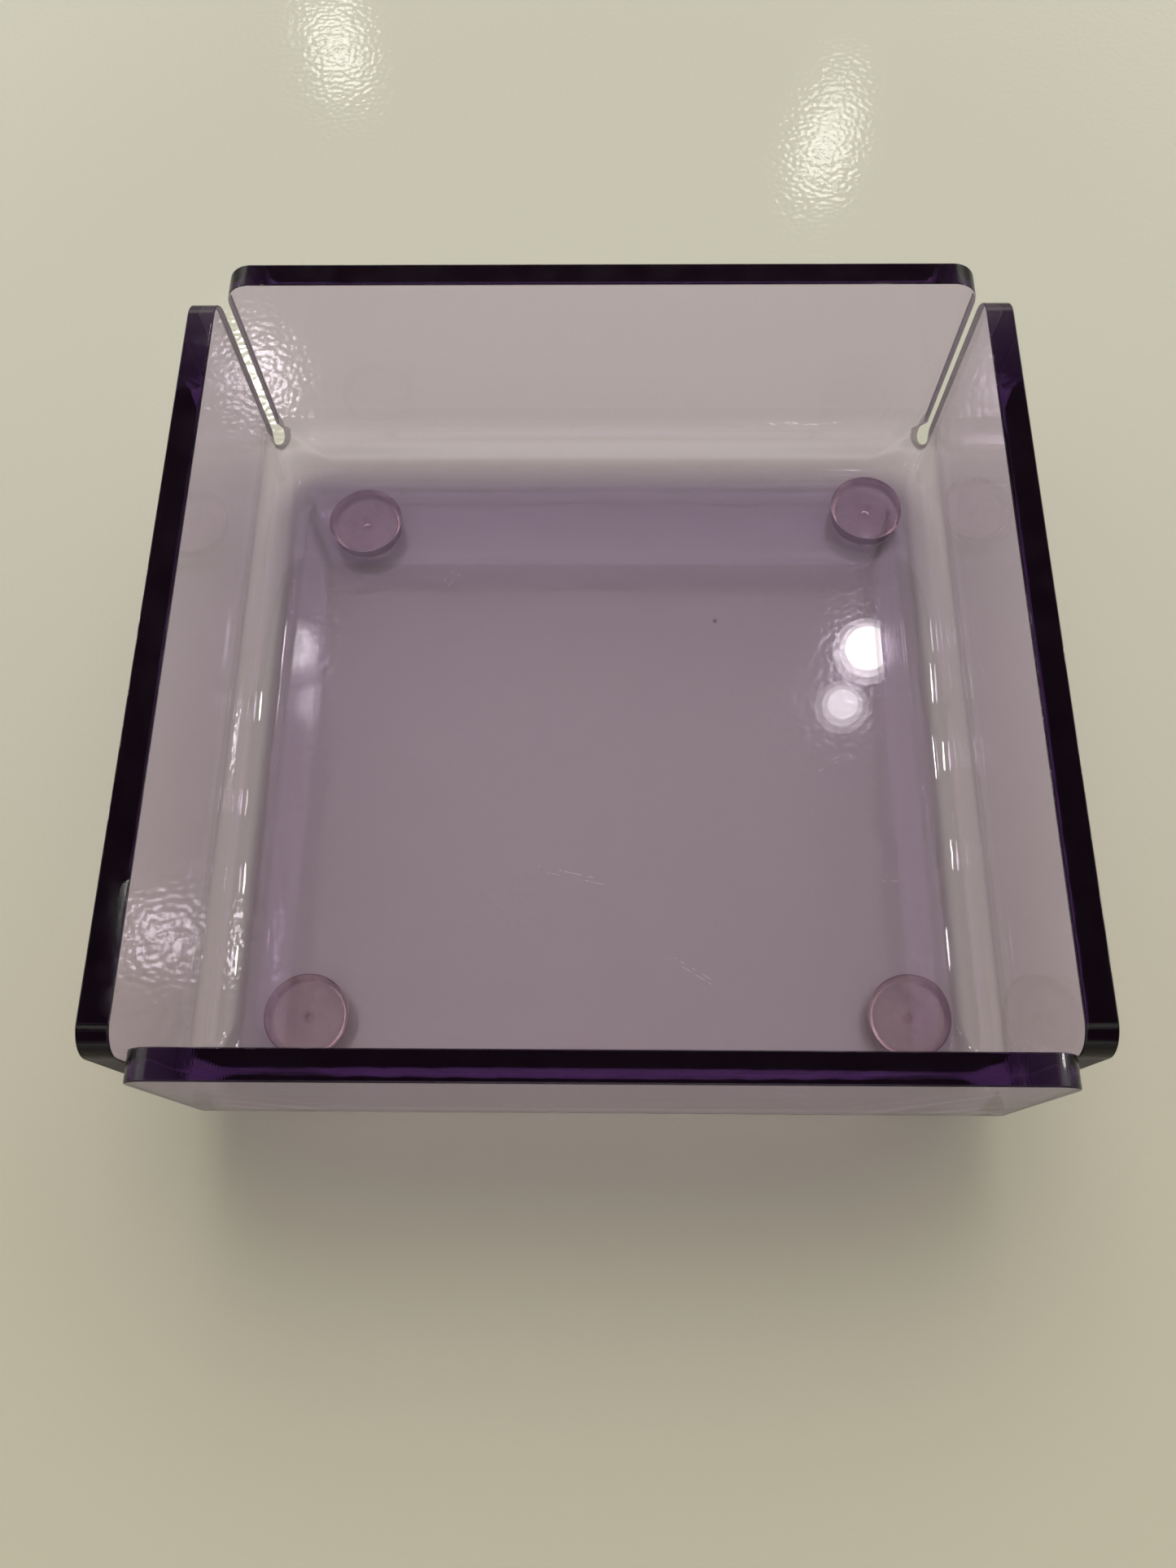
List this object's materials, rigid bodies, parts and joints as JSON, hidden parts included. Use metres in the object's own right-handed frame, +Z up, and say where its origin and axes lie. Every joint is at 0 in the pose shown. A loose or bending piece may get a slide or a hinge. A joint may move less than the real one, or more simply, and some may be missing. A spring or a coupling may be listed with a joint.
{
  "type": "acrylic display tray",
  "caption": "Square open-top display tray bent from one tinted acrylic sheet, with wide bends, open corner slots ending in relief holes, and round clear bumper feet.",
  "frame": {"origin": "on the surface that the bumpers stand on, under the centre of the tray", "axes": "+Z up, out of the open top; +Y to the back; +X to the right"},
  "size_m": [0.1524, 0.1506, 0.0582],
  "materials": {
    "tinted_acrylic": "clear cast sheet tinted purple, polished faces, finely machined edges",
    "clear_rubber": "clear soft rubber, smooth",
    "clear_adhesive": "clear adhesive film"
  },
  "bodies": {
    "root": {"tray_body": "tinted_acrylic", "bumper_front_left": "clear_rubber", "bumper_front_right": "clear_rubber", "bumper_rear_left": "clear_rubber", "bumper_rear_right": "clear_rubber", "adhesive_front_left": "clear_adhesive", "adhesive_front_right": "clear_adhesive", "adhesive_rear_left": "clear_adhesive", "adhesive_rear_right": "clear_adhesive"}
  },
  "joints": []
}
